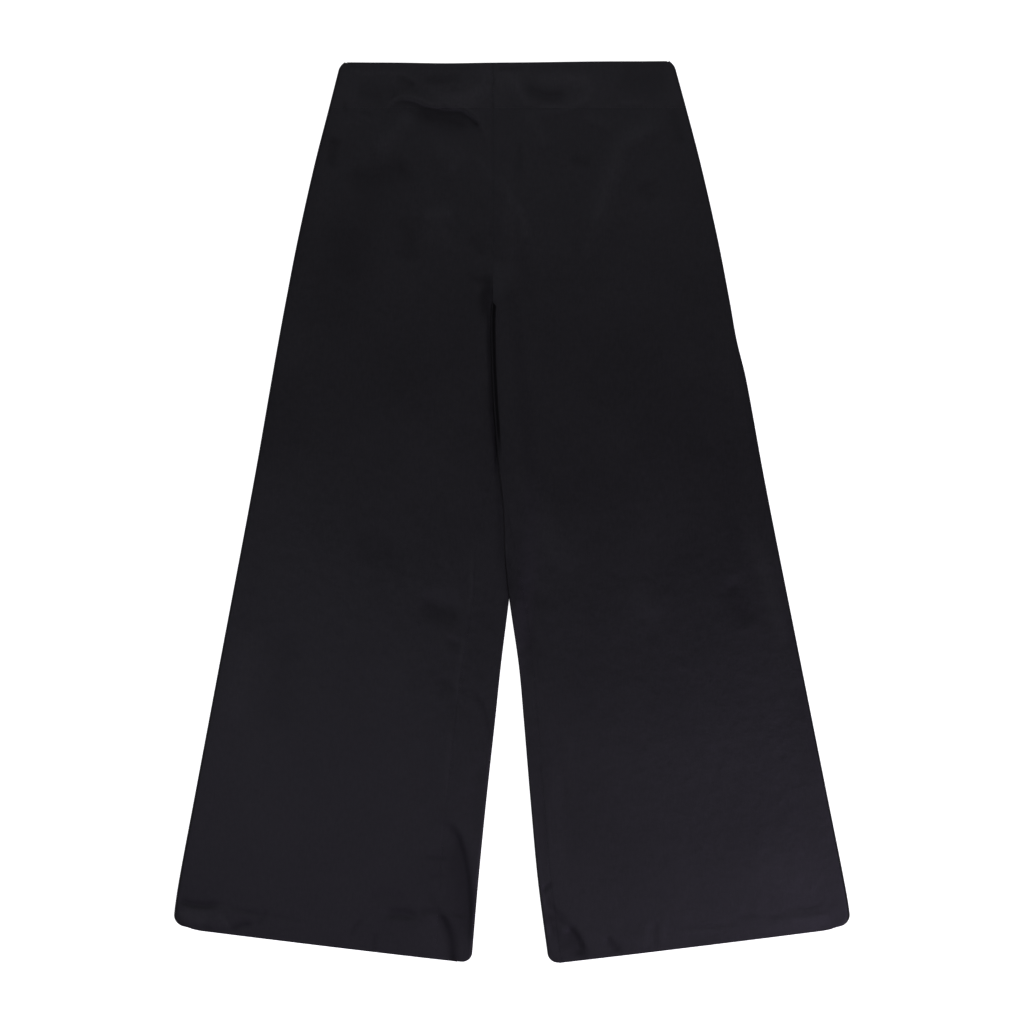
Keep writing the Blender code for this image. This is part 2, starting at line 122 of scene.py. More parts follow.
# A crease runs through its points (x, down). It is near wide on the waist side of a line drawn
# left to right and far wide on the other side. Height is below zero for a trough. Tone is painted
# shade below zero and painted highlight above it; a crease of height 0 is painted shade or highlight
# alone. A sharp one has a crest like a bent card, a soft one is round.
frontCreases = [
    # line, height, tone, near, far, sharp
    ([(-143, 60), (-134, 50), (-123, 42), (-112, 43), (-101, 48), (-91, 53), (-80, 53),
      (-68, 53), (-57, 56), (-47, 62), (-36, 73), (-31, 81)], 1.7, 0.2, 15, 13, 0.5),
    ([(-146, 56), (-138, 46), (-130, 40), (-116, 41), (-104, 45), (-90, 50),
      (-78, 48)], 0.25, 0.9, 5, 2, 0.2),
    ([(-82, 49), (-65, 50), (-55, 53), (-46, 59), (-38, 69), (-33, 80), (-29, 92)], 0.3, 1.2, 4, 2, 0.5),
    ([(-138, 53), (-131, 47), (-121, 46), (-110, 49), (-98, 53), (-86, 55), (-74, 54),
      (-62, 56)], -0.3, -1.5, 1.5, 5, 0),
    ([(-90, 58), (-74, 58), (-63, 58), (-54, 61), (-46, 67), (-40, 76)], -0.6, -2.2, 3, 5, 0),
    ([(-112, 54), (-98, 62), (-80, 68), (-62, 73), (-50, 80)], -0.6, -1.1, 8, 13, 0),
    ([(-57, 60), (-48, 67), (-39, 76)], -0.5, -2.4, 3, 4.5, 0),
    ([(-100, 32), (-76, 36), (-52, 38), (-30, 34)], 0.4, 0.95, 12, 10, 0),
    ([(-148, 136), (-166, 168), (-180, 214), (-186, 266)], -0.2, -0.38, 24, 26, 0),
    ([(-44, 10), (-22, 13), (0, 12), (18, 16)], 0.2, 0.4, 10, 12, 0),
    ([(-44, 40), (-30, 30), (-18, 40), (-6, 46)], 0.15, 0.3, 10, 10, 0),
    ([(-182, 38), (-166, 38), (-148, 41)], -0.4, -0.5, 11, 11, 0),
    ([(-150, 30), (-142, 36), (-138, 44)], -0.3, -0.3, 7, 7, 0),
    ([(-188, 14), (-181, 12), (-165, 14), (-140, 13), (-120, 17), (-108, 26)], 0.14, 0.5, 4, 3, 0.5),
    ([(-134, 17), (-120, 21), (-111, 29)], -0.25, -0.7, 3, 5, 0.4),
    ([(-106, 18), (-88, 20), (-70, 18), (-56, 17)], -0.3, -0.7, 4, 5, 0.3),
    ([(-95, 37), (-68, 38), (-40, 32), (-26, 22)], 0.5, 0.5, 9, 12, 0),
    ([(-182, 62), (-172, 66), (-152, 74)], 0.12, 0.4, 4, 3, 0.5),
    ([(-192, 45), (-194, 52), (-190, 60)], -0.14, -0.8, 2.5, 2.5, 0.3),
    ([(-196, 76), (-186, 70), (-176, 74)], 0.11, 0.5, 3, 3, 0.5),
    ([(-178, 62), (-170, 60), (-160, 64)], -0.11, -0.5, 3, 3, 0.3),
    ([(-205, 86), (-208, 105), (-210, 128)], -0.58, -0.9, 6, 6, 0.2),
    ([(-162, 112), (-143, 92), (-128, 74), (-114, 62)], 1, 1, 11, 10, 0.2),
    ([(-196, 134), (-164, 136), (-134, 128), (-118, 116)], -0.75, -0.75, 13, 20, 0),
    ([(-212, 180), (-196, 220), (-200, 262)], -0.25, -0.3, 20, 20, 0),
    ([(-128, 178), (-122, 210), (-121, 238)], -0.45, -0.45, 11, 11, 0),
    ([(-96, 104), (-72, 112), (-58, 128)], 0.4, 0.4, 14, 14, 0),
    ([(-68, 120), (-69, 128), (-70, 138)], 0.4, 0.55, 6, 7, 0.2),
    ([(-110, 182), (-90, 180), (-66, 176)], 0.7, 0.7, 8, 12, 0.2),
    ([(-104, 200), (-88, 204), (-70, 200)], 0.35, 0.35, 14, 16, 0),
    ([(-48, 202), (-40, 214), (-34, 230)], -0.4, -0.4, 10, 10, 0),
    ([(-20, 30), (-4, 22), (8, 12)], 0.5, 0.5, 14, 14, 0),
    ([(-2, 14), (6, 30), (14, 44), (20, 58)], 0.3, 0.7, 5, 4, 0.3),
    ([(14, 26), (28, 36), (46, 40), (66, 38)], -0.5, -0.8, 6, 6, 0.1),
    ([(24, 18), (58, 20), (96, 22)], 0.15, 0.75, 8, 8, 0),
    ([(22, 60), (40, 59), (62, 55), (82, 46), (92, 32), (97, 20)], 0.39, 0.6, 6, 6, 0.2),
    ([(58, 18), (78, 19), (94, 22)], 0.39, 0.6, 6, 6, 0.1),
    ([(-18, 7), (0, 7), (16, 8)], -0.14, -0.6, 3, 3, 0.2),
    ([(22, 10), (34, 12), (48, 12)], -0.11, -0.3, 4, 4, 0),
    ([(122, 18), (150, 22), (184, 20)], -0.55, -0.55, 18, 18, 0),
    ([(120, 46), (136, 47), (154, 46)], 0.11, 0.5, 3, 3, 0.2),
    ([(182, 68), (168, 72), (153, 79), (136, 93), (125, 107), (117, 124), (112, 141),
      (105, 164), (97, 190), (88, 226)], 1.1, 0.85, 15, 11, 0.1),
    ([(166, 76), (154, 84), (144, 94)], 0.15, 0.7, 6, 6, 0),
    ([(130, 114), (124, 126), (118, 142)], 0.15, 0.7, 6, 6, 0),
    ([(106, 160), (103, 172), (99, 184)], 0.1, 0.6, 5, 5, 0),
    ([(90, 208), (87, 218), (85, 230)], 0.1, 0.7, 5, 5, 0),
    ([(84, 68), (98, 70), (120, 80)], 0.33, 0.4, 7, 7, 0),
    ([(186, 52), (190, 74), (198, 100)], -0.39, -0.6, 6, 6, 0),
    ([(66, 112), (78, 118), (92, 122)], -0.26, -0.45, 5, 6, 0),
    ([(150, 142), (156, 152), (166, 162)], -0.4, -0.4, 9, 9, 0),
    ([(14, 58), (26, 76), (42, 104)], 0.35, 0.35, 8, 8, 0),
    ([(8, 92), (10, 110), (8, 133)], -0.17, -0.6, 3, 4, 0.2),
    ([(-50, 100), (-24, 132), (4, 166), (16, 195)], 0.15, 0.3, 5, 6, 0.1),
    ([(-3, 120), (-1, 160), (0, 205), (-1, 250)], 0.12, 0.35, 4, 4, 0),
    ([(-16, 124), (-6, 152), (-8, 190), (-9, 214)], 0.16, 0.45, 4, 4, 0.2),
    ([(8, 166), (15, 190), (18, 210)], 0.36, 0.55, 5, 7, 0.1),
    ([(8, 220), (16, 250), (18, 282)], -0.3, -0.3, 8, 8, 0),
    ([(2, 462), (26, 500), (52, 552), (72, 590)], 0.5, 0.5, 17, 15, 0),
    ([(-2, 520), (10, 560), (24, 600), (40, 640)], -0.4, -0.4, 12, 14, 0),
    ([(140, 596), (152, 620), (176, 640)], 0.35, 0.35, 16, 16, 0),
    ([(262, 500), (286, 560), (306, 625), (318, 680)], 0.5, 0.5, 8, 10, 0),
    ([(252, 596), (264, 624), (278, 652)], -0.45, -0.6, 15, 15, 0),
    ([(328, 716), (336, 742), (342, 764)], -0.32, -0.5, 6, 6, 0),
    ([(346, 776), (352, 798), (356, 820)], -0.29, -0.5, 5, 6, 0),
    ([(-298, 646), (-312, 704), (-322, 768)], 0.4, 0.5, 14, 16, 0),
    ([(-258, 640), (-262, 700), (-272, 776)], -0.35, -0.35, 22, 20, 0),
    ([(-180, 540), (-150, 560), (-120, 566)], -0.3, -0.3, 20, 20, 0),
    ([(-106, 622), (-84, 632), (-56, 636)], -0.7, -0.7, 12, 13, 0),
    ([(-76, 668), (-66, 674), (-58, 676)], -0.19, -0.55, 4, 4, 0.1),
    ([(-84, 712), (-74, 720), (-64, 724)], -0.29, -0.45, 6, 6, 0),
    ([(-86, 736), (-78, 722), (-70, 708)], -0.07, -0.3, 3, 3, 0),
    ([(-45, 726), (-35, 742), (-28, 762), (-24, 785)], -0.2, -1.0, 2.5, 3, 0.3),
    ([(-46, 560), (-46, 600), (-50, 640)], 0.12, 0.5, 2.5, 2.5, 0),
    ([(-52, 654), (-59, 700), (-64, 738)], 0.15, 0.7, 2.5, 3, 0),
    ([(-68, 760), (-73, 805), (-78, 862)], 0.1, 0.45, 3, 3, 0),
    ([(-72, 885), (-68, 945), (-66, 1040)], 0, -0.75, 15, 17, 0),
    ([(-104, 905), (-98, 960), (-96, 1010)], 0, -0.25, 26, 24, 0),
    ([(-34, 800), (-42, 860), (-36, 900)], -0.32, -0.35, 7, 8, 0),
    ([(-82, 879), (-72, 886), (-65, 897), (-58, 920), (-53, 948), (-50, 983),
      (-45, 1045)], -1.1, 0, 4.4, 24, 0.1),
    ([(-84, 878), (-72, 885), (-63.5, 896), (-56.5, 920), (-51.5, 948), (-48.5, 983),
      (-45.5, 1022)], 0, -3.2, 4, 4.5, 0.1),
    ([(-62, 902), (-55, 945), (-50, 1020)], 0, -2.4, 7, 11, 0),
    ([(-90, 982), (-80, 996), (-73.5, 1014), (-71.5, 1036), (-70.5, 1064)], -1.0, 0, 4.6, 25, 0.1),
    ([(-88, 982), (-77, 997), (-70, 1014), (-68, 1036), (-67, 1064)], 0, -3.4, 5, 5, 0),
    ([(-96, 960), (-90, 975), (-86, 984)], -0.11, -0.5, 3, 3, 0.2),
    ([(-102, 921), (-92, 920), (-72, 923)], -0.14, -0.8, 2, 3, 0.4),
    ([(-98, 942), (-88, 943), (-76, 941)], -0.12, -0.6, 2.5, 3, 0.3),
    ([(-150, 988), (-136, 986), (-120, 988), (-108, 990)], -0.58, -0.9, 6, 6, 0.1),
    ([(-108, 986), (-97, 982), (-85, 985)], -0.16, -0.8, 2.5, 3, 0.3),
    ([(-170, 968), (-150, 964), (-122, 966)], -0.25, -0.3, 6, 8, 0),
    ([(-398, 971), (-380, 974), (-360, 978), (-336, 977)], -0.4, -2.0, 3.4, 3.4, 0.2),
    ([(-398, 971), (-376, 975), (-344, 978)], -0.12, -1.4, 1.6, 2, 0.3),
    ([(-330, 980), (-306, 984), (-286, 989)], -0.12, -0.6, 2.5, 3, 0.2),
    ([(-286, 988), (-262, 991), (-240, 995)], -0.05, -0.4, 2, 2.5, 0.2),
    ([(-374, 984), (-381, 992), (-389, 999)], 0.3, 1.3, 3, 3, 0.3),
    ([(-386, 994), (-356, 997), (-330, 1000)], 0.5, 0.5, 9, 7, 0),
    ([(-404, 988), (-380, 991), (-350, 996)], 0, 1.3, 8, 10, 0),
    ([(-340, 986), (-333, 996), (-328, 1004)], 0.23, 1, 3, 3, 0.3),
    ([(-326, 1007), (-314, 1001), (-300, 998)], -0.41, -1.6, 3.5, 3, 0.4),
    ([(-296, 1000), (-288, 992), (-283, 980)], -0.16, -0.9, 2.5, 2.5, 0.3),
    ([(-172, 993), (-180, 1000), (-187, 1014)], -0.16, -0.9, 2.5, 2.5, 0.3),
    ([(-154, 1008), (-159, 1018), (-160, 1034)], -0.2, -1, 2.5, 3, 0.4),
    ([(36, 985), (46, 992), (60, 996), (72, 1004)], -0.1, -0.9, 3, 3, 0.3),
    ([(65, 1000), (74, 1014), (84, 1034)], -0.9, -3.6, 3.4, 10, 0.2),
    ([(66, 1002), (77, 1018), (86, 1042)], 0, -2.6, 4.5, 4.5, 0),
    ([(36, 984), (45, 998), (52, 1010)], 0, -0.9, 5, 5, 0),
    ([(-2, 580), (12, 634), (26, 700)], 0, -0.8, 10, 10, 0),
    ([(-5, 566), (-4, 600), (-3, 640)], 0, -1.1, 4, 4, 0),
    ([(40, 1004), (50, 1012), (60, 1030)], -0.41, -0.5, 7, 7, 0),
    ([(109, 1012), (115, 1022), (126, 1031)], -0.45, -2.2, 4, 3, 0.3),
    ([(168, 994), (167, 1010), (168, 1028)], -0.16, -1.3, 2, 2, 0.4),
    ([(155, 996), (154, 1012), (155, 1028)], 0.18, 0.5, 4, 4, 0),
    ([(174, 996), (174, 1010), (175, 1022)], 0.09, 0.4, 3, 3, 0),
    ([(190, 1003), (220, 1001), (250, 999)], -0.05, -0.4, 2, 2, 0.2),
    ([(190, 1008), (220, 1006), (248, 1004)], 0.08, 0.4, 2.5, 3, 0.2),
    ([(196, 975), (214, 972), (232, 974)], -0.05, -0.3, 2, 3, 0.2),
    ([(258, 991), (272, 988), (288, 990)], -0.05, -0.7, 2, 2, 0.3),
    ([(296, 988), (304, 990), (312, 988)], -0.05, -0.6, 2, 2, 0.3),
    ([(322, 979), (345, 978), (366, 973)], -0.04, -0.4, 2.5, 3, 0.2),
    ([(318, 991), (342, 991), (366, 986)], 0.2, 0.7, 4, 5, 0.1),
    ([(290, 1000), (330, 998), (380, 990)], 0.2, 0.3, 8, 8, 0),
    ([(318, 986), (338, 984), (360, 980)], 0.05, 0.5, 3, 3, 0.2),
    ([(296, 960), (304, 975), (312, 984)], -0.07, -0.35, 2.5, 3, 0.2),
    ([(34, 962), (40, 956), (47, 951)], -0.3, -1.4, 3.5, 3.5, 0.2),
    ([(38, 966), (46, 978), (54, 988), (66, 992)], -0.3, -1.1, 4, 5, 0.2),
    ([(282, 905), (322, 938), (360, 968)], 0, 0.42, 36, 34, 0),
    ([(33, 800), (36, 870), (40, 940)], -0.07, -0.3, 3, 3, 0),
    ([(50, 790), (54, 860), (58, 930)], 0.11, 0.3, 4, 4, 0),
    ([(62, 760), (68, 810), (72, 870)], 0.11, 0.25, 4, 5, 0),
]

crossingCreases = [  # on the left leg only, beside and under the right one's edge, with a painted shadow from that edge
    ([(-54, 250), (-40, 254), (-24, 256)], -0.37, -0.5, 6, 7, 0),
    ([(-26, 276), (-26, 290), (-25, 320), (-24, 350), (-21, 400), (-17, 455),
      (-14, 500)], -1.2, -2.0, 6, 3, 0),
    ([(-27, 244), (-26, 262), (-28, 282), (-29, 304)], -0.2, -1.3, 5, 8, 0),
    ([(-25, 252), (-25, 264), (-26, 278)], 0, -2.0, 5, 5, 0),
    ([(-27.5, 264), (-28.5, 278), (-27, 292)], -0.1, -4.5, 4.5, 5.5, 0),
    ([(-24, 370), (-21, 410), (-18, 450)], 0, -1.2, 5, 6, 0),
    ([(-12, 480), (-12, 540), (-10, 590)], -0.25, -0.7, 3, 5, 0.2),
]

backCreases = [  # pressed flat by the table: shallow hollows on the underside
    ([(-160, 90), (-120, 130), (-60, 160)], 0.5, 0.5, 7, 9, 0),
    ([(-110, 190), (-60, 230), (-30, 262)], 0.49, 0.6, 6, 8, 0.2),
    ([(140, 96), (100, 150), (40, 185)], 0.5, 0.5, 7, 9, 0),
    ([(90, 210), (40, 240), (0, 262)], 0.49, 0.6, 6, 8, 0.2),
    ([(-190, 330), (-140, 350), (-90, 352)], 0.4, 0.4, 8, 10, 0),
    ([(60, 345), (110, 352), (170, 330)], 0.4, 0.4, 8, 10, 0),
    ([(-250, 560), (-238, 640), (-246, 720)], 0.5, 0.5, 9, 12, 0),
    ([(220, 600), (206, 690), (214, 780)], 0.5, 0.5, 9, 12, 0),
    ([(-300, 860), (-250, 872), (-190, 866)], 0.4, 0.4, 7, 9, 0),
    ([(150, 850), (210, 868), (270, 858)], 0.4, 0.4, 7, 9, 0),
    ([(-120, 940), (-110, 975), (-112, 1010)], 0.25, 0.5, 4, 6, 0.3),
    ([(120, 950), (130, 980), (128, 1012)], 0.25, 0.5, 4, 6, 0.3),
    ([(-90, 20), (-40, 30), (20, 24)], 0.33, 0.4, 6, 8, 0),
]

hemLines = {  # how far the hem's stitching lies above the hem edge
    "leftX": [-392, -373, -333, -296, -257, -172, -118, -86, -40],
    "left": [31, 31, 33.6, 26.7, 27.5, 37, 46.4, 55, 54],
    "leftShow": [1.7, 1.7, 1.3, 0.8, 0.3, 0.2, 0.4, 0.9, 0.6],
    "rightX": [40, 68, 126, 200, 251, 272, 295, 328, 366, 392],
    "right": [44, 39.4, 29.6, 19.7, 20.9, 30.2, 24.4, 29, 30.2, 30.5],
    "rightShow": [0.3, 0.3, 0.2, 0.1, 0.15, 0.15, 0.15, 0.18, 0.18, 0.15],
    "groove": 0.14,
    "grooveReach": 1.8,
    "step": 0.3,  # the doubled cloth stands this much higher
    "stepReach": 6.0,
    "stitch": 9.0,  # from one stitch to the next
    "even": 0.62,  # the groove's mean depth, as a share
    "caught": 0.38,  # how much deeper it is at a stitch, and shallower between
    "unevenLength": 24.0,
}

surfaceRipple = {
    "height": 0.30,
    "length": 95.0,
    "fineHeight": 0.07,
    "fineLength": 17.0,
    "puckerHeight": 0.16,
    "puckerLength": 7.0,
    "puckerReach": 7.0,
}

legs = {
    "left": {"name": "left", "out": -1.0, "innerSag": -0.4, "creases": frontCreases + crossingCreases},
    "right": {"name": "right", "out": 1.0, "innerSag": 0.6, "creases": frontCreases},
}


def smoothPoints(points, steps=5):  # more points on a curve through the given ones
    found = []
    last = len(points) - 1
    for k in range(last):
        a, b, c, d = (np.array(points[min(max(i, 0), last)], float) for i in (k - 1, k, k + 1, k + 2))
        for s in np.linspace(0, 1, steps, endpoint=False):
            bend = (2 * a - 5 * b + 4 * c - d) * s**2 + (3 * b - a - 3 * c + d) * s**3
            found.append(0.5 * (2 * b + (c - a) * s + bend))
    found.append(np.array(points[-1], float))
    return np.array(found)


def creaseForms(x, down, creases):  # the cloth's relief, and its painted shade and highlight
    relief, tones = np.zeros_like(x), np.zeros_like(x)
    for line, height, tone, near, far, sharp in creases:
        points = smoothPoints(line)
        reach = 4.0 * max(near, far)
        low, high = points.min(0) - reach, points.max(0) + reach
        inside = (x > low[0]) & (x < high[0]) & (down > low[1]) & (down < high[1])
        if not inside.any():
            continue
        px, pd = x[inside], down[inside]
        steps = np.diff(points, axis=0)
        lengths = np.hypot(steps[:, 0], steps[:, 1])
        travelled = np.concatenate([[0], np.cumsum(lengths)])
        best = np.full(px.shape, 1e9)
        side = np.zeros_like(best)
        share = np.zeros_like(best)
        for k in range(len(steps)):
            dx, dd = px - points[k, 0], pd - points[k, 1]
            t = np.clip((dx * steps[k, 0] + dd * steps[k, 1]) / lengths[k] ** 2, 0, 1)
            away = np.hypot(dx - t * steps[k, 0], dd - t * steps[k, 1])
            nearer = away < best
            best = np.where(nearer, away, best)
            side = np.where(nearer, steps[k, 0] * dd - steps[k, 1] * dx, side)
            share = np.where(nearer, (travelled[k] + t * lengths[k]) / travelled[-1], share)
        width = near + (far - near) * ease(0.5 + 0.5 * np.sign(side) * ease(best / 0.8))
        taper = ease(share / 0.28 + 0.15) * ease((1 - share) / 0.28 + 0.15)
        form = taper * np.exp(-((best / width) ** (2 - 0.8 * sharp)))
        relief[inside] += height * form
        tones[inside] += tone * form
    return relief, tones


def noiseField(x, down, length, seed):
    x, down = np.broadcast_arrays(x, down)
    flat = [noise.noise((a / length, b / length, seed)) for a, b in zip(x.ravel(), down.ravel())]
    return np.array(flat).reshape(x.shape)


crossing = {  # the right leg lies over the left one, and the cloth humps where they meet
    "start": 226,
    "climb": 50,
    "end": 624,
    "fall": 130,
    "edge": 4,  # how far from the fold the fall to the rest of the leg starts
    "slope": 30,
    "leftShare": 0.45,  # the left leg humps less, and only around the crotch
    "leftReach": 17,
    "leftEnd": 260,
    "leftFall": 28,
}


def crossingRise(leg, x, down):
    fold = readLine(innerLines, "leftFold", down)
    start = ease((down - crossing["start"]) / crossing["climb"])
    if leg["name"] == "right":
        end = 1 - ease((down - crossing["end"]) / crossing["fall"])
        rise = start * end * (1 - ease((x - fold - crossing["edge"]) / crossing["slope"]))
    else:
        near = 1 - ease((garment["centreSeam"] - x) / crossing["leftReach"])
        end = 1 - ease((down - crossing["leftEnd"]) / crossing["leftFall"])
        rise = crossing["leftShare"] * start * near * end
    return garment["overlapRise"] * rise


def cornerInset(distance, radius):
    short = np.clip(radius - distance, 0, radius)
    return radius - np.sqrt(radius**2 - short**2)


def slantAt(rows):
    share = (rows - garment["slantStart"]) / (garment["hemEnd"] - garment["slantStart"])
    return garment["hemSlant"] * np.sqrt(ease(share))


def sideX(leg, rows):
    inset = cornerInset(garment["hemEnd"] - rows, garment["sideCorner"])
    return readLine(sideLines, leg["name"], rows) - leg["out"] * inset


def foldX(leg, rows):
    inset = cornerInset(garment["hemEnd"] - rows, garment["innerCorner"])
    return readLine(innerLines, leg["name"] + "Fold", rows + slantAt(rows)) + leg["out"] * inset


def inseamX(leg, rows):
    line = readLine(innerLines, leg["name"] + "Inseam", rows + slantAt(rows))
    return garment["centreSeam"] + (line - garment["centreSeam"]) * ease((rows - garment["crotch"]) / 8)


def downAt(leg, rows, x):
    side = readLine(sideLines, leg["name"], rows) - leg["out"] * garment["sideCorner"]
    fold = readLine(innerLines, leg["name"] + "Fold", rows + slantAt(rows))
    fold = fold + leg["out"] * garment["innerCorner"]
    share = np.clip((x - side) / (fold - side), 0, 1)
    sag = garment["hemSag"] * (1 - share**2) * ease(share / 0.08 + 0.3) + leg["innerSag"] * share
    return rows + slantAt(rows) * share + sag * ease((rows - garment["sagStart"]) / garment["sagLength"])


def hemDepth(leg, x):
    return np.interp(x, hemLines[leg["name"] + "X"], hemLines[leg["name"]])


def hemProfile(leg, rows, x):  # the hem is a double layer, caught by hand stitches along its top
    below = rows - (garment["hemEnd"] - hemDepth(leg, x))
    caught = hemLines["even"] + hemLines["caught"] * np.cos(2 * math.pi * x / hemLines["stitch"])
    caught = caught * (0.7 + 0.9 * noiseField(x, 0 * x, hemLines["unevenLength"], 5.0 + leg["out"]))
    show = np.interp(x, hemLines[leg["name"] + "X"], hemLines[leg["name"] + "Show"])
    profile = -hemLines["groove"] * show * caught * np.exp(-((below / hemLines["grooveReach"]) ** 2))
    profile += hemLines["step"] * (0.1 + 0.9 * np.minimum(show, 1)) * ease(below / hemLines["stepReach"])
    return profile


seams = {
    "dipReach": 1.4,
    "underDrop": 0.6,  # an allowance lies this much lower
    "underReach": 0.3,
    "waistLeft": 0.15,  # the waistband seam's painted shade and highlight show more on the right than on the left
    "waistRight": 0.85,
    "waistStart": 4,
    "waistLength": 12,
    "waistFade": 0.4,
    "fadeStart": 130,
    "fadeLength": 60,
}


def seamDip(distance, under=False, deep=0.06):  # cloth turns down into a seam, or on under the next piece
    dip = -deep * np.exp(-((np.maximum(distance, 0) / seams["dipReach"]) ** 2))
    return dip - seams["underDrop"] * ease(-distance / seams["underReach"]) if under else dip


def waistShow(x):
    right = ease((x - garment["centreSeam"] + seams["waistStart"]) / seams["waistLength"])
    fade = 1 - seams["waistFade"] * ease((x - seams["fadeStart"]) / seams["fadeLength"])
    return seams["waistLeft"] + seams["waistRight"] * right * fade


# painted shade along a seam line
def seamShade(distance, deep, reach=1.1):
    return -deep * np.exp(-((np.maximum(distance, 0) / reach) ** 2))


def rippleHeight(x, down, fromSeam, fromSide):
    ripple = surfaceRipple
    found = ripple["height"] * noiseField(x, down * 0.45, ripple["length"], 1.0)
    found += ripple["fineHeight"] * noiseField(x, down * 0.6, ripple["fineLength"], 2.0)
    pucker = noiseField(x * 0.4, down, ripple["puckerLength"], 3.0)
    nearSeam = np.exp(-fromSeam / ripple["puckerReach"]) + np.exp(-fromSide / ripple["puckerReach"])
    return found + ripple["puckerHeight"] * pucker * nearSeam


def frontHeight(leg, x, down, seam, side):  # the cloth's height, and the painted shade and highlight of its creases
    middle = readLine(levels, "middle", down)
    fromSeam, fromSide = np.abs(x - seam), np.abs(x - side)
    z = middle + (readLine(levels, "seam", down) - middle) * (1 - ease(fromSeam / 25))
    z = z + (readLine(levels, "side", down) - middle) * (1 - ease(fromSide / 30))
    relief, tone = creaseForms(x, down, leg["creases"])
    extra = relief + rippleHeight(x, down, fromSeam, fromSide)
    return z + extra * ease(fromSide / 9), tone * ease(fromSide / 6)


def cornerSteps(radius, count=9):  # distances from an end at which a rounded corner is even
    return radius * (1 - np.sin(np.linspace(math.pi / 2, 0, count + 1)))


# shares of the allowance, ending near the seam
allowanceSteps = np.array([-1.0, -0.6, -0.35, -0.15, -0.06])


def legRows():  # closer together at the waist seam, the crotch and the hem
    top = bandDepth + garment["seamGap"]
    return np.concatenate([
        top + allowanceSteps * garment["allowance"],
        top + np.array([0, 0.25, 0.6, 1.2, 2.2, 3.8]),
        np.linspace(top + 6, 150, 46),
        np.linspace(153, 268, 40),
        np.linspace(270.5, 276, 5),
        np.linspace(277.2, 292, 9),
        np.linspace(295.5, 845, 148),
        np.linspace(847, garment["hemEnd"] - 15.2, 76),
        (garment["hemEnd"] - cornerSteps(garment["sideCorner"], 11))[::-1],
    ])


seamSteps = np.array([0, 0.12, 0.4, 0.9, 1.6, 2.6, 4.0, 5.9, 8.4])  # crowded near a seam


def acrossSteps(width, count, under=False):  # distances across a panel, crowded at its first edge
    left = width - seamSteps[-1]
    found = np.concatenate([seamSteps, seamSteps[-1] + left * np.arange(1, count + 1) / count])
    return np.concatenate([allowanceSteps * garment["allowance"], found]) if under else found


def surfaceNormals(points, up):
    across = np.gradient(points, axis=1)
    along = np.gradient(points, axis=0)
    found = np.cross(across, along)
    found /= np.linalg.norm(found, axis=2, keepdims=True) + 1e-12
    middle = found[points.shape[0] // 2, points.shape[1] // 3, 2]
    return found if middle * up > 0 else -found


def turnedHem(leg, rows, points, paintedShading, up, keep):
    # the lower edge folds under, and the cloth runs back up inside to the line of stitching
    normals = surfaceNormals(points, up)
    radius = garment["hemFold"]
    added = []
    for step in range(1, 7):
        angle = math.pi * step / 6
        along = np.array([0, radius * math.sin(angle), 0])
        added.append(points[-1] + along - normals[-2] * radius * (1 - math.cos(angle)))
    depth = hemDepth(leg, points[-1, :, 0]) + 1.5
    for share in np.linspace(0.05, 1, 12):
        at = garment["hemEnd"] - depth * share
        layer = np.empty_like(points[-1])
        for column in range(points.shape[1]):
            for axis in range(3):
                place = np.interp(at[column], rows, points[:, column, axis])
                tilt = np.interp(at[column], rows, normals[:, column, axis])
                layer[column, axis] = place - tilt * 2 * radius
        added.append(layer)
    present = np.ones((len(points) + len(added), points.shape[1]), bool)
    present[len(points):] = keep
    paintedShading = np.concatenate([paintedShading, np.zeros((len(added), points.shape[1]))])
    return np.concatenate([points, np.array(added)]), present, paintedShading


clothMaking = {
    "deepestPaintedShade": 1.5,  # how deep the painted shade in the deepest hollow goes, where the painted highlight on the lightest ridge stops at 1
    "smoothAngle": 55.0,
}


setMode = bpy.ops.object.mode_set


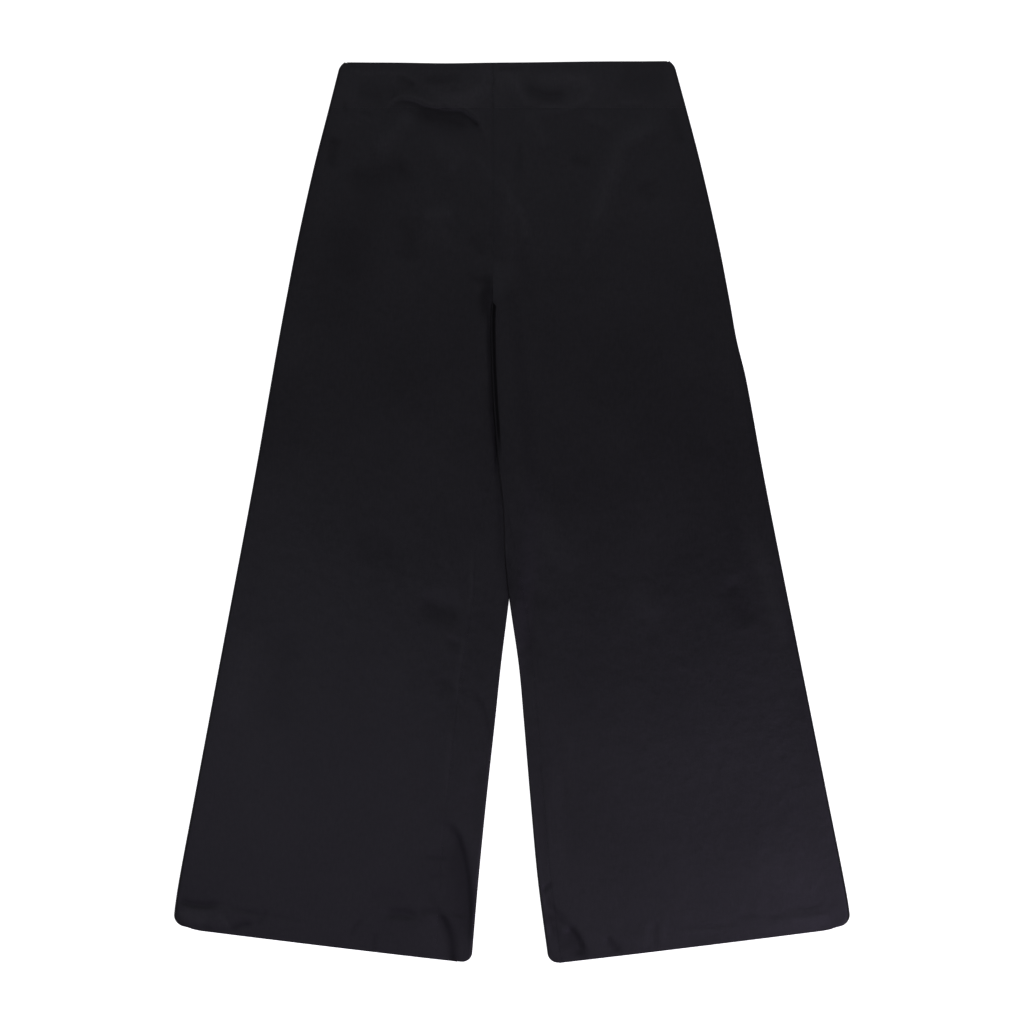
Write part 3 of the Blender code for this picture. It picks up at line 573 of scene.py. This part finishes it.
def clothPiece(name, points, present, paintedShading, up, thickness, finish):
    # a grid primitive whose points are moved to the cloth's form, then given its thickness
    rows, columns = points.shape[:2]
    bpy.ops.object.select_all(action="DESELECT")
    bpy.ops.mesh.primitive_grid_add(x_subdivisions=columns - 1, y_subdivisions=rows - 1, size=2)
    piece = bpy.context.object
    piece.name = name
    mesh = piece.data
    mesh.name = name
    flat = np.zeros(len(mesh.vertices) * 3, np.float32)
    mesh.vertices.foreach_get("co", flat)
    flat = flat.reshape(-1, 3)
    column = np.rint((flat[:, 0] + 1) / 2 * (columns - 1)).astype(int)
    row = np.rint((1 - flat[:, 1]) / 2 * (rows - 1)).astype(int)
    place = points[row, column]
    place = np.stack([place[:, 0] * mm, waistTop - place[:, 1] * mm, place[:, 2] * mm], axis=1)
    mesh.vertices.foreach_set("co", place.astype(np.float32).ravel())
    widths = np.linalg.norm(np.diff(points, axis=1), axis=2)
    heights = np.linalg.norm(np.diff(points, axis=0), axis=2)
    middle = columns // 2
    across = np.concatenate([np.zeros((rows, 1)), np.cumsum(widths, axis=1)], axis=1)
    across = across - across[:, middle:middle + 1] + points[:, middle:middle + 1, 0] * np.sign(
        points[0, -1, 0] - points[0, 0, 0]
    )
    along = np.concatenate([[0], np.cumsum(heights[:, middle])])[:, None] + 0 * across
    corners = np.zeros(len(mesh.loops), np.int32)
    mesh.loops.foreach_get("vertex_index", corners)
    weave = np.stack([across[row, column] * mm, along[row, column] * mm], axis=1)[corners]
    mesh.uv_layers[0].data.foreach_set("uv", weave.astype(np.float32).ravel())
    # a vertex attribute of painted shade and painted highlight, read by the satin's base colour
    painted_shading = mesh.attributes.new("painted_shading", "FLOAT", "POINT")
    held = paintedShading[row, column]
    deepest = clothMaking["deepestPaintedShade"]
    held = np.where(held < 0, deepest * np.tanh(held / deepest), np.tanh(held))
    painted_shading.data.foreach_set("value", held.astype(np.float32))
    mesh.update()
    missing = ~present[row, column]
    setMode(mode="EDIT")
    bpy.ops.mesh.select_all(action="DESELECT")
    setMode(mode="OBJECT")
    mesh.vertices.foreach_set("select", missing)
    setMode(mode="EDIT")
    if missing.any():
        bpy.ops.mesh.delete(type="VERT")
    setMode(mode="OBJECT")
    mesh.update()
    normals = np.zeros(len(mesh.polygons) * 3, np.float32)
    mesh.polygons.foreach_get("normal", normals)
    facing = normals.reshape(-1, 3)[:, 2]
    outer = facing[len(facing) // 3: len(facing) // 2].mean()
    if outer * up < 0:
        setMode(mode="EDIT")
        bpy.ops.mesh.select_all(action="SELECT")
        bpy.ops.mesh.flip_normals()
        setMode(mode="OBJECT")
    wall = piece.modifiers.new("wall", "SOLIDIFY")
    wall.thickness = thickness * mm
    wall.offset = -1
    bpy.ops.object.modifier_apply(modifier=wall.name)
    bpy.ops.object.shade_smooth_by_angle(angle=math.radians(clothMaking["smoothAngle"]))
    mesh.materials.append(finish)
    return piece


def edgeShade(angle):  # painted shade: the rolled side edge is painted a little darker
    return -0.5 * ease(angle / 1.2)


def rolledEdge(leg, start, radius, top, sideTop):  # the front's side edge rolls down to the side seam
    angle = np.linspace(0, math.pi / 2, 9)[None, 1:]
    z = garment["sideSeam"] + radius * np.cos(angle) + (top - sideTop) * np.cos(angle)
    return angle, start + leg["out"] * radius * np.sin(angle), z


def curledEdge(side, out, curl):  # the back's side edge curls up to the front
    angles = np.linspace(0, math.pi / 2, 6)[:-1]
    return [(side - out * curl * (1 - math.cos(a)), curl * (1 - math.sin(a)) + 0 * side) for a in angles]


def columnsOf(x, z):
    return [(x[:, k:k + 1], z[:, k:k + 1]) for k in range(x.shape[1])]


def joined(parts, shape):
    return [np.concatenate([np.broadcast_to(part[i], shape) for part in parts], axis=1) for i in (0, 1)]


def frontPiece(leg):
    rows = legRows()[:, None]
    out = leg["out"]
    seam = inseamX(leg, rows) + out * garment["seamGap"] / 2
    side = sideX(leg, rows)
    sideTop = readLine(levels, "side", rows)
    radius = sideTop - garment["sideSeam"]
    rollStart = side - out * radius
    width = np.abs(rollStart - seam)
    under = leg["name"] == "left"
    steps = np.stack([acrossSteps(width[i, 0], 98, under) for i in range(len(rows))])
    x = seam + out * steps
    down = downAt(leg, rows, x)
    z, paintedShading = frontHeight(leg, x, down, seam, rollStart)
    hem = hemProfile(leg, rows, x) * ease(np.abs(x - rollStart) / 4)
    z += hem + crossingRise(leg, x, down)
    # painted shade in the hem's stitching groove
    paintedShading += 1.2 * np.minimum(hem, 0)
    fromBand = rows - bandDepth - garment["seamGap"]
    z += np.minimum(seamDip(steps, under), seamDip(fromBand, True))
    # painted shade along the waistband seam and the inseam
    paintedShading += seamShade(fromBand, 0.3 * waistShow(x), 2.6) * ease(np.abs(x - rollStart) / 4)
    paintedShading += seamShade(np.abs(steps), 0.3) * (1 - 0.5 * ease((down - 110) / 190) + ease((down - 560) / 80))
    angle, rollX, rollZ = rolledEdge(leg, rollStart, radius, z[:, -1:], sideTop)
    x, z = np.concatenate([x, rollX], 1), np.concatenate([z, rollZ], 1)
    down = np.concatenate([down, downAt(leg, rows, rollX)], 1)
    points = np.stack([x, down, z], axis=2)
    paintedShading = np.concatenate([paintedShading, edgeShade(angle) + 0 * rollX], 1)
    keep = np.arange(points.shape[1]) < points.shape[1] - 9
    points, present, paintedShading = turnedHem(leg, rows[:, 0], points, paintedShading, 1, keep)
    print("front", leg["name"], points.shape)
    name = "front_" + leg["name"] + "_cloth"
    return clothPiece(name, points, present, paintedShading, 1, garment["cloth"], legCloth)


def stripSteps(width, under):  # distances from the inner fold to the inseam, crowded at the inseam
    reach = min(seamSteps[-1], 0.6 * width)
    near = width - seamSteps[::-1] * reach / seamSteps[-1]
    found = np.concatenate([(width - reach) * np.arange(1, 15) / 15, near])
    return np.concatenate([found, width - allowanceSteps[::-1] * garment["allowance"]]) if under else found


leaning = {  # below the crotch the right leg's edge leans over the left leg and lies in its own shade, painted darker
    "start": 270,
    "startLength": 6,
    "end": 415,
    "endLength": 60,
    "edge": 0.8,  # taken off the rolled edge's radius
    "drop": 1.6,
    "dropReach": 5.2,
    "shade": 3.0,
    "shadeStart": 2.6,
    "shadeReach": 3.0,
}


def leanAt(leg, rows):
    start = ease((rows - leaning["start"]) / leaning["startLength"])
    return start * (1 - ease((rows - leaning["end"]) / leaning["endLength"])) * (leg["name"] == "right")


def backPiece(leg):
    rows = legRows()[:, None]
    out = leg["out"]
    belowCrotch = rows > garment["crotch"] + 0.3
    turn = readLine(levels, "seam", rows + slantAt(rows)) / 2
    side = sideX(leg, rows)
    seam = garment["centreSeam"] + out * garment["seamGap"] / 2
    flatEnd = np.where(belowCrotch, foldX(leg, rows) + out * turn, seam)
    inseam = np.where(belowCrotch, inseamX(leg, rows) - out * garment["seamGap"] / 2, flatEnd - out)
    curl = garment["sideSeam"] - garment["curlGap"]
    parts = curledEdge(side, out, curl)
    start = side - out * curl
    width = np.abs(start - flatEnd)
    x = np.stack([flatEnd[i, 0] + out * acrossSteps(width[i, 0], 46)[::-1] for i in range(len(rows))])
    down = downAt(leg, rows, x)
    fromSeam, fromSide = np.abs(x - flatEnd), np.abs(x - start)
    lift = np.abs(rippleHeight(x + 500, down, 60 + 0 * x, 60 + 0 * x)) * 0.9
    lift += np.abs(creaseForms(x, down, backCreases)[0])
    lift -= 0.8 * hemProfile(leg, rows, x)
    lift = np.maximum(lift, 0.0) * ease(fromSide / 8) * np.where(belowCrotch, ease(fromSeam / 10), 1.0)
    fromBand = rows - bandDepth - garment["seamGap"]
    lift -= np.minimum(np.where(belowCrotch, 0.0, seamDip(fromSeam)), seamDip(fromBand, True, 0.25))
    parts += columnsOf(x, lift)
    flatColumns = len(parts)
    lean = leanAt(leg, rows)
    edge = turn - leaning["edge"] * lean
    for angle in np.linspace(0, math.pi, 10)[1:]:  # round the inner edge of the leg
        parts.append((flatEnd - out * turn * math.sin(angle), edge * (1 - math.cos(angle))))
    turnColumns = len(parts)
    under = leg["name"] == "right"
    width = np.abs(inseam - flatEnd)
    steps = np.stack([stripSteps(width[i, 0], under) for i in range(len(rows))])
    x = flatEnd + steps * np.sign(inseam - flatEnd)
    down = downAt(leg, rows, x)
    relief, tone = creaseForms(x, down, leg["creases"])
    hem = hemProfile(leg, rows, x)
    extra = relief + hem + rippleHeight(x, down, np.abs(x - inseam), 60 + 0 * x)
    z = 2 * turn + seamDip(width - steps, under, 0.05) + extra * ease(np.abs(x - flatEnd) / 5)
    # painted shade: the strip's creases, its hem groove and its inseam
    stripPaintedShading = tone + 1.2 * np.minimum(hem, 0) + seamShade(np.abs(width - steps), 0.15)
    z = z - leaning["drop"] * lean * (1 - ease(steps / leaning["dropReach"]))
    # painted shadow under the leaning edge
    shadeEnd = ease((steps - leaning["shadeStart"]) / leaning["shadeReach"])
    stripPaintedShading = stripPaintedShading - leaning["shade"] * lean * (1 - shadeEnd)
    x, z = joined(parts + columnsOf(x, z), rows.shape)
    down = downAt(leg, rows, x)
    z = z + crossingRise(leg, x, down)
    columns = np.arange(x.shape[1])
    keep = (columns > 6) & ((columns < flatColumns - 2) | (columns > turnColumns + 1))
    paintedShading = np.zeros_like(x)
    paintedShading[:, turnColumns:] = stripPaintedShading
    paintedShading[:, flatColumns:turnColumns] = stripPaintedShading[:, :1]
    points, present, paintedShading = turnedHem(leg, rows[:, 0], np.stack([x, down, z], axis=2), paintedShading, -1, keep)
    above = np.flatnonzero(~belowCrotch[:, 0])
    present[np.ix_(above, columns[flatColumns:])] = False
    print("back", leg["name"], points.shape)
    name = "back_" + leg["name"] + "_cloth"
    return clothPiece(name, points, present, paintedShading, -1, garment["cloth"], legCloth)


bandShape = {
    "cloth": 0.45,
    "thick": 1.5,  # outer layer, inner facing and the stiffening between them
    "facing": 50.0,  # how far the inner facing comes down
    "corner": 10.0,
    "dip": 0.9,  # the top edge sags a little left of the centre seam
    "dipX": -76.0,
    "dipReach": 42.0,
    "lift": 1.4,  # and climbs a little to the right
    "edgeLine": 7.2,  # a line of understitching this far below the top edge
    "bodyRows": 42,
}


def topDip(x, row):
    away = (x - bandShape["dipX"]) / bandShape["dipReach"]
    dip = bandShape["dip"] * np.exp(-away * away) - bandShape["lift"] * ease((x + 20) / 150)
    return dip * (1 - ease(row / bandDepth))


def bandSideX(leg, rows):
    return readLine(sideLines, leg["name"], rows) - leg["out"] * cornerInset(rows, bandShape["corner"])


def bandRows():
    corner = cornerSteps(bandShape["corner"], 9)
    fold = bandShape["thick"] / 2
    body = np.linspace(bandShape["corner"] + 0.9, bandDepth - 5, bandShape["bodyRows"])
    end = bandDepth - np.array([3.8, 2.4, 1.4, 0.8, 0.4, 0.15, 0])
    return np.concatenate([corner[corner > fold * 0.9], body, end]), fold


def foldedBand(points, paintedShading, rows, fold, up, keep):
    # the top edge turns over, and a facing runs down inside
    normals = surfaceNormals(points, up)
    first, lean = points[0], normals[0]
    turned = []
    for step in range(7, 0, -1):
        angle = math.pi * step / 7
        along = np.array([0, -fold * math.sin(angle), 0])
        turned.append(first + along - lean * fold * (1 - math.cos(angle)))
    facing = points[rows < bandShape["facing"]][1:] - normals[rows < bandShape["facing"]][1:] * 2 * fold
    added = np.concatenate([facing[::2][::-1], np.array(turned)])
    present = np.ones((len(added) + len(points), points.shape[1]), bool)
    present[:len(added)] = keep
    paintedShading = np.concatenate([np.zeros((len(added), points.shape[1])), paintedShading])
    return np.concatenate([added, points]), present, paintedShading


def bandFront(leg):
    rows, fold = bandRows()
    rows = rows[:, None]
    out = leg["out"]
    seam = garment["centreSeam"] + out * garment["seamGap"] / 2
    side = bandSideX(leg, rows)
    sideTop = readLine(levels, "side", rows)
    radius = sideTop - garment["sideSeam"]
    rollStart = side - out * radius
    width = np.abs(rollStart - seam)
    x = np.stack([seam + out * acrossSteps(width[i, 0], 88) for i in range(len(rows))])
    down = rows + topDip(x, rows)
    z, paintedShading = frontHeight(leg, x, down, np.full_like(side, seam), rollStart)
    z += seamDip(np.abs(x - seam), False, 0.15)
    line = (rows - bandShape["edgeLine"]) / 0.9
    line = np.exp(-line * line) * (0.4 + np.abs(noiseField(x, 0 * x, 40.0, 8.0)) * 2)
    line = line * ease(np.abs(x - rollStart) / 10)
    z -= 0.2 * line
    z += seamDip(bandDepth - rows)
    # painted highlight along the band's lower edge; painted shade on the centre seam and the understitching
    # line
    edgeLight = np.exp(-(((bandDepth - rows - 1.6) / 2.2) ** 2)) * ease(np.abs(x - rollStart) / 4)
    paintedShading += 0.3 * waistShow(x) * edgeLight * (0.4 + 2.2 * noiseField(x, 0 * x, 30.0, 9.0))
    paintedShading += seamShade(np.abs(x - seam), 0.55, 1.3) - 0.35 * line
    angle, rollX, rollZ = rolledEdge(leg, rollStart, radius, z[:, -1:], sideTop)
    rollDown = rows + topDip(rollX, rows) - rows[0] * (1 - np.cos(angle)) * np.exp(-(rows - rows[0]) / 4)
    pairs = ((x, rollX), (down, rollDown), (z, rollZ))
    points = np.stack([np.concatenate(pair, 1) for pair in pairs], axis=2)
    paintedShading = np.concatenate([paintedShading, edgeShade(angle) + 0 * rollX], 1)
    keep = np.arange(points.shape[1]) < points.shape[1] - 8
    points, present, paintedShading = foldedBand(points, paintedShading, rows[:, 0], fold, 1, keep)
    print("waistband front", leg["name"], points.shape)
    name = "waistband_front_" + leg["name"] + "_cloth"
    return clothPiece(name, points, present, paintedShading, 1, bandShape["cloth"], bandCloth)


def bandBack():
    rows, fold = bandRows()
    rows = rows[:, None]
    curl = garment["sideSeam"] - garment["curlGap"]
    left, right = bandSideX(legs["left"], rows), bandSideX(legs["right"], rows)
    shares = np.linspace(0, 1, 120)[None]
    x = left + curl + (right - left - 2 * curl) * shares
    inside = np.minimum(x - left, right - x)
    lift = np.abs(rippleHeight(x + 500, rows + 0 * x, 60 + 0 * x, 60 + 0 * x)) * 0.8
    lift = (lift + np.abs(creaseForms(x, rows + 0 * x, backCreases)[0])) * ease(inside / 8)
    line = (rows - bandShape["edgeLine"]) / 0.9
    lift += 0.15 * np.exp(-line * line) - seamDip(bandDepth - rows)
    parts = curledEdge(left, -1.0, curl) + columnsOf(x, lift) + curledEdge(right, 1.0, curl)[::-1]
    x, z = joined(parts, rows.shape)
    curled = np.clip(z / curl, 0, 1) * (np.minimum(x - left, right - x) < curl)
    down = rows + topDip(x, rows) - rows[0] * curled * np.exp(-(rows - rows[0]) / 4)
    columns = np.arange(x.shape[1])
    keep = (columns > 5) & (columns < len(columns) - 6)
    points = np.stack([x, down, z], axis=2)
    points, present, paintedShading = foldedBand(points, 0 * x, rows[:, 0], fold, -1, keep)
    print("waistband back", points.shape)
    return clothPiece("waistband_back_cloth", points, present, paintedShading, -1, bandShape["cloth"], bandCloth)


def setInputs(node, values):
    for name, value in values.items():
        node.inputs[name].default_value = value


def nodeIn(tree, kind, inputs=(), **settings):
    node = tree.nodes.new(kind)
    for name, value in settings.items():
        setattr(node, name, value)
    setInputs(node, dict(inputs))
    return node


def noiseIn(tree, vector, scale, detail):
    node = nodeIn(tree, "ShaderNodeTexNoise", {"Scale": scale, "Detail": detail})
    tree.links.new(vector, node.inputs["Vector"])
    return node.outputs["Fac"]


def threadsIn(tree, vector, direction, scale, wander):
    inputs = {"Scale": scale, "Distortion": wander}
    node = nodeIn(tree, "ShaderNodeTexWave", inputs, wave_type="BANDS", bands_direction=direction)
    tree.links.new(vector, node.inputs["Vector"])
    return node


def mixIn(tree, share, first, second):
    node = nodeIn(tree, "ShaderNodeMix", {"Factor": share}, data_type="FLOAT")
    tree.links.new(first, node.inputs["A"])
    tree.links.new(second, node.inputs["B"])
    return node.outputs["Result"]


def bumpIn(tree, height, depth, before=None):
    node = nodeIn(tree, "ShaderNodeBump", {"Strength": 1.0, "Distance": depth * mm})
    tree.links.new(height, node.inputs["Height"])
    if before:
        tree.links.new(before, node.inputs["Normal"])
    return node.outputs["Normal"]


def rangeIn(tree, value, inputs):
    node = nodeIn(tree, "ShaderNodeMapRange", inputs)
    tree.links.new(value, node.inputs["Value"])
    return node.outputs["Result"]


def satin(name, look):  # near-black satin: fine threads, soft mottling and a faint violet sheen, with painted shade and highlight in its base colour
    material = bpy.data.materials.new(name)
    material.use_nodes = True
    tree = material.node_tree
    shader = tree.nodes["Principled BSDF"]
    link = tree.links.new
    place = nodeIn(tree, "ShaderNodeTexCoord")
    warp = threadsIn(tree, place.outputs["UV"], "X", look["threads"], 1.5)
    warp.inputs["Detail Scale"].default_value = 2.0
    weft = threadsIn(tree, place.outputs["UV"], "Y", look["threads"] * look["weftShare"], 2.5)
    weave = mixIn(tree, 0.35, warp.outputs["Fac"], weft.outputs["Fac"])
    slubMap = nodeIn(tree, "ShaderNodeMapping", {"Scale": look["slubs"]})
    link(place.outputs["UV"], slubMap.inputs["Vector"])
    slub = noiseIn(tree, slubMap.outputs["Vector"], 1.0, 3.0)
    cockle = noiseIn(tree, place.outputs["Object"], look["cockles"], 3.0)
    patch = noiseIn(tree, place.outputs["Object"], look["patches"], 4.0)
    nap = noiseIn(tree, place.outputs["Object"], look["nap"], 2.0)
    mottle = mixIn(tree, 0.3, mixIn(tree, 0.4, patch, nap), slub)

    tone = nodeIn(tree, "ShaderNodeValToRGB")
    tone.color_ramp.elements[0].position = 0.32
    tone.color_ramp.elements[0].color = (*look["dark"], 1)
    tone.color_ramp.elements[1].position = 0.68
    tone.color_ramp.elements[1].color = (*look["light"], 1)
    link(mottle, tone.inputs["Fac"])
    painted_shading = nodeIn(tree, "ShaderNodeAttribute", attribute_name="painted_shading")  # painted shade in hollows, painted highlight on ridges
    deepest = clothMaking["deepestPaintedShade"]
    darkest, lightest = 1.0 - deepest * look["paintedShading"], 1.0 + look["paintedShading"]
    shadingRange = {"From Min": -deepest, "To Min": darkest, "To Max": lightest}
    shaded = nodeIn(tree, "ShaderNodeVectorMath", operation="SCALE")
    link(tone.outputs["Color"], shaded.inputs[0])
    link(rangeIn(tree, painted_shading.outputs["Fac"], shadingRange), shaded.inputs["Scale"])
    link(shaded.outputs["Vector"], shader.inputs["Base Color"])

    low, high = look["rough"] - look["roughSpread"], look["rough"] + look["roughSpread"]
    link(rangeIn(tree, mottle, {"To Min": low, "To Max": high}), shader.inputs["Roughness"])
    coarse = bumpIn(tree, cockle, look["cockle"])
    fine = bumpIn(tree, slub, look["slub"], coarse)
    link(bumpIn(tree, weave, look["weave"], fine), shader.inputs["Normal"])

    setInputs(shader, {
        "Specular IOR Level": look["specular"],
        "Specular Tint": (*look["specularTint"], 1),
        "Sheen Weight": look["sheen"],
        "Sheen Roughness": look["sheenRough"],
        "Sheen Tint": (*look["sheenTint"], 1),
    })
    return material


legLook = {
    "dark": (0.0063, 0.0063, 0.0067),
    "light": (0.0136, 0.0135, 0.0142),
    "rough": 0.34,
    "roughSpread": 0.06,
    "specular": 0.22,
    "specularTint": (0.93, 0.89, 1.0),
    "sheen": 0.06,
    "sheenRough": 0.45,
    "sheenTint": (0.9, 0.8, 1.0),
    "threads": 460.0,
    "weftShare": 0.55,
    "slubs": (520.0, 90.0, 1.0),  # across, along
    "cockles": 75.0,
    "patches": 9.0,
    "nap": 210.0,
    "weave": 0.02,  # depths in millimetres
    "slub": 0.02,
    "cockle": 0.27,
    "paintedShading": 0.6,  # how strong the painted shade in a hollow and the painted highlight on a ridge are
}

# the waistband's satin is a lighter copy of the leg satin: painted light, where the band is lit brighter
bandLook = dict(legLook, dark=(0.0092, 0.0091, 0.0095), light=(0.0178, 0.0175, 0.0183), rough=0.36)

legCloth = satin("leg_satin", legLook)
bandCloth = satin("waistband_satin", bandLook)
print("finishes made")

pieces = {}
for leg in legs.values():
    pieces["back_" + leg["name"]] = backPiece(leg)
    pieces["front_" + leg["name"]] = frontPiece(leg)
    pieces["waistband_front_" + leg["name"]] = bandFront(leg)
pieces["waistband_back"] = bandBack()

for node, piece in pieces.items():
    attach(piece, "root")
    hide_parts(node)
print("pieces declared")

studio = {
    "cameraX": 0.0002,
    "cameraHeight": 2.8,
    "lens": 84.87,
    "sensor": 36,
    "panelHeight": 3.0,
    "floorSize": 80,
    "floorGap": 0.0004,  # the floor lies this far under the cloth
    "floorRough": 0.9,
    "floorSpecular": 0.1,
    "floorTone": 0.93,
    "floorGlow": 1.0,
    "air": 0.06,  # light from all round, overhead
    "horizon": 0.9,  # the studio is pale where the floor ends
    "horizonHeight": 0.12,
}

bpy.ops.object.select_all(action="DESELECT")
bpy.ops.mesh.primitive_plane_add(size=studio["floorSize"], location=(0, 0, -studio["floorGap"]))
floor = bpy.context.object
floor.name = "studio_floor"
paper = bpy.data.materials.new("studio_paper")
paper.use_nodes = True
setInputs(paper.node_tree.nodes["Principled BSDF"], {
    "Base Color": (studio["floorTone"],) * 3 + (1,),
    "Roughness": studio["floorRough"],
    "Specular IOR Level": studio["floorSpecular"],
    "Emission Color": (1, 1, 1, 1),
    "Emission Strength": studio["floorGlow"],
})
floor.data.materials.append(paper)

world = bpy.data.worlds.new("studio_air")
world.use_nodes = True
airTree = world.node_tree
airLight = airTree.nodes["Background"]
airLight.inputs["Color"].default_value = (1, 1, 1, 1)
airPlace = nodeIn(airTree, "ShaderNodeTexCoord")
airSplit = nodeIn(airTree, "ShaderNodeSeparateXYZ")
airTree.links.new(airPlace.outputs["Generated"], airSplit.inputs["Vector"])
airRange = {"From Max": studio["horizonHeight"], "To Min": studio["horizon"], "To Max": studio["air"]}
airFade = rangeIn(airTree, airSplit.outputs["Z"], airRange)
airTree.links.new(airFade, airLight.inputs["Strength"])
bpy.context.scene.world = world

studioTints = {"plain": (1.0, 1.0, 1.0), "cool": (0.9, 0.93, 1.0), "lilac": (0.8, 0.7, 1.0)}

studioPanels = {  # soft panels overhead, facing down: x and y, width, depth, power, tint
    "panelWaist": (0, 1.25, 2.2, 0.7, 5.0, "cool"),
    "panelHips": (0.3, 0.65, 1.6, 0.5, 1.0, "plain"),
    "panelLeftKnee": (-0.85, -0.4, 1.1, 0.6, 3.5, "cool"),
    "panelLeftHem": (-0.7, -1.15, 1.4, 0.9, 3.5, "lilac"),
    "panelRightHem": (0.6, -1.0, 1.2, 1.0, 3.0, "plain"),
    "panelCorner": (1.25, -1.35, 0.9, 0.9, 25.0, "lilac"),
}

lowLights = {  # beyond the waist, sides and hem corners: place, aim, width, depth, power
    "lowWaist": ((0.2, 2.8, 1.5), (0, 0.1, 0), 1.6, 1.0, 5.0),
    "lowLeft": ((-2.6, -0.6, 1.3), (0, -0.1, 0), 1.4, 0.9, 1.0),
    "lowRight": ((2.6, -0.6, 1.3), (0, -0.1, 0), 1.4, 0.9, 1.0),
    "lowCorner": ((1.5, -1.9, 1.0), (0.2, -0.3, 0), 1.2, 0.7, 8.0),
    "lowCornerLeft": ((-1.3, -2.0, 1.0), (-0.2, -0.3, 0), 1.2, 0.7, 6.0),
}


def areaLight(name, place, aim, width, depth, power, tint):
    bpy.ops.object.light_add(type="AREA", location=place)
    lamp = bpy.context.object
    lamp.name = name
    lamp.data.shape = "RECTANGLE"
    lamp.data.size = width
    lamp.data.size_y = depth
    lamp.data.energy = power
    lamp.data.color = studioTints[tint]
    toAim = Vector(aim) - Vector(place)
    lamp.rotation_euler = toAim.to_track_quat("-Z", "Y").to_euler()


for name, (x, y, width, depth, power, tint) in studioPanels.items():
    areaLight(name, (x, y, studio["panelHeight"]), (x, y, 0), width, depth, power, tint)
for name, (place, aim, width, depth, power) in lowLights.items():
    areaLight(name, place, aim, width, depth, power, "plain")

bpy.ops.object.camera_add(location=(studio["cameraX"], 0, studio["cameraHeight"]), rotation=(0, 0, 0))
camera = bpy.context.object
camera.name = "overhead_camera"
camera.data.lens = studio["lens"]
camera.data.sensor_width = studio["sensor"]
bpy.context.scene.camera = camera
bpy.context.scene.view_settings.view_transform = "Standard"
print("studio set")
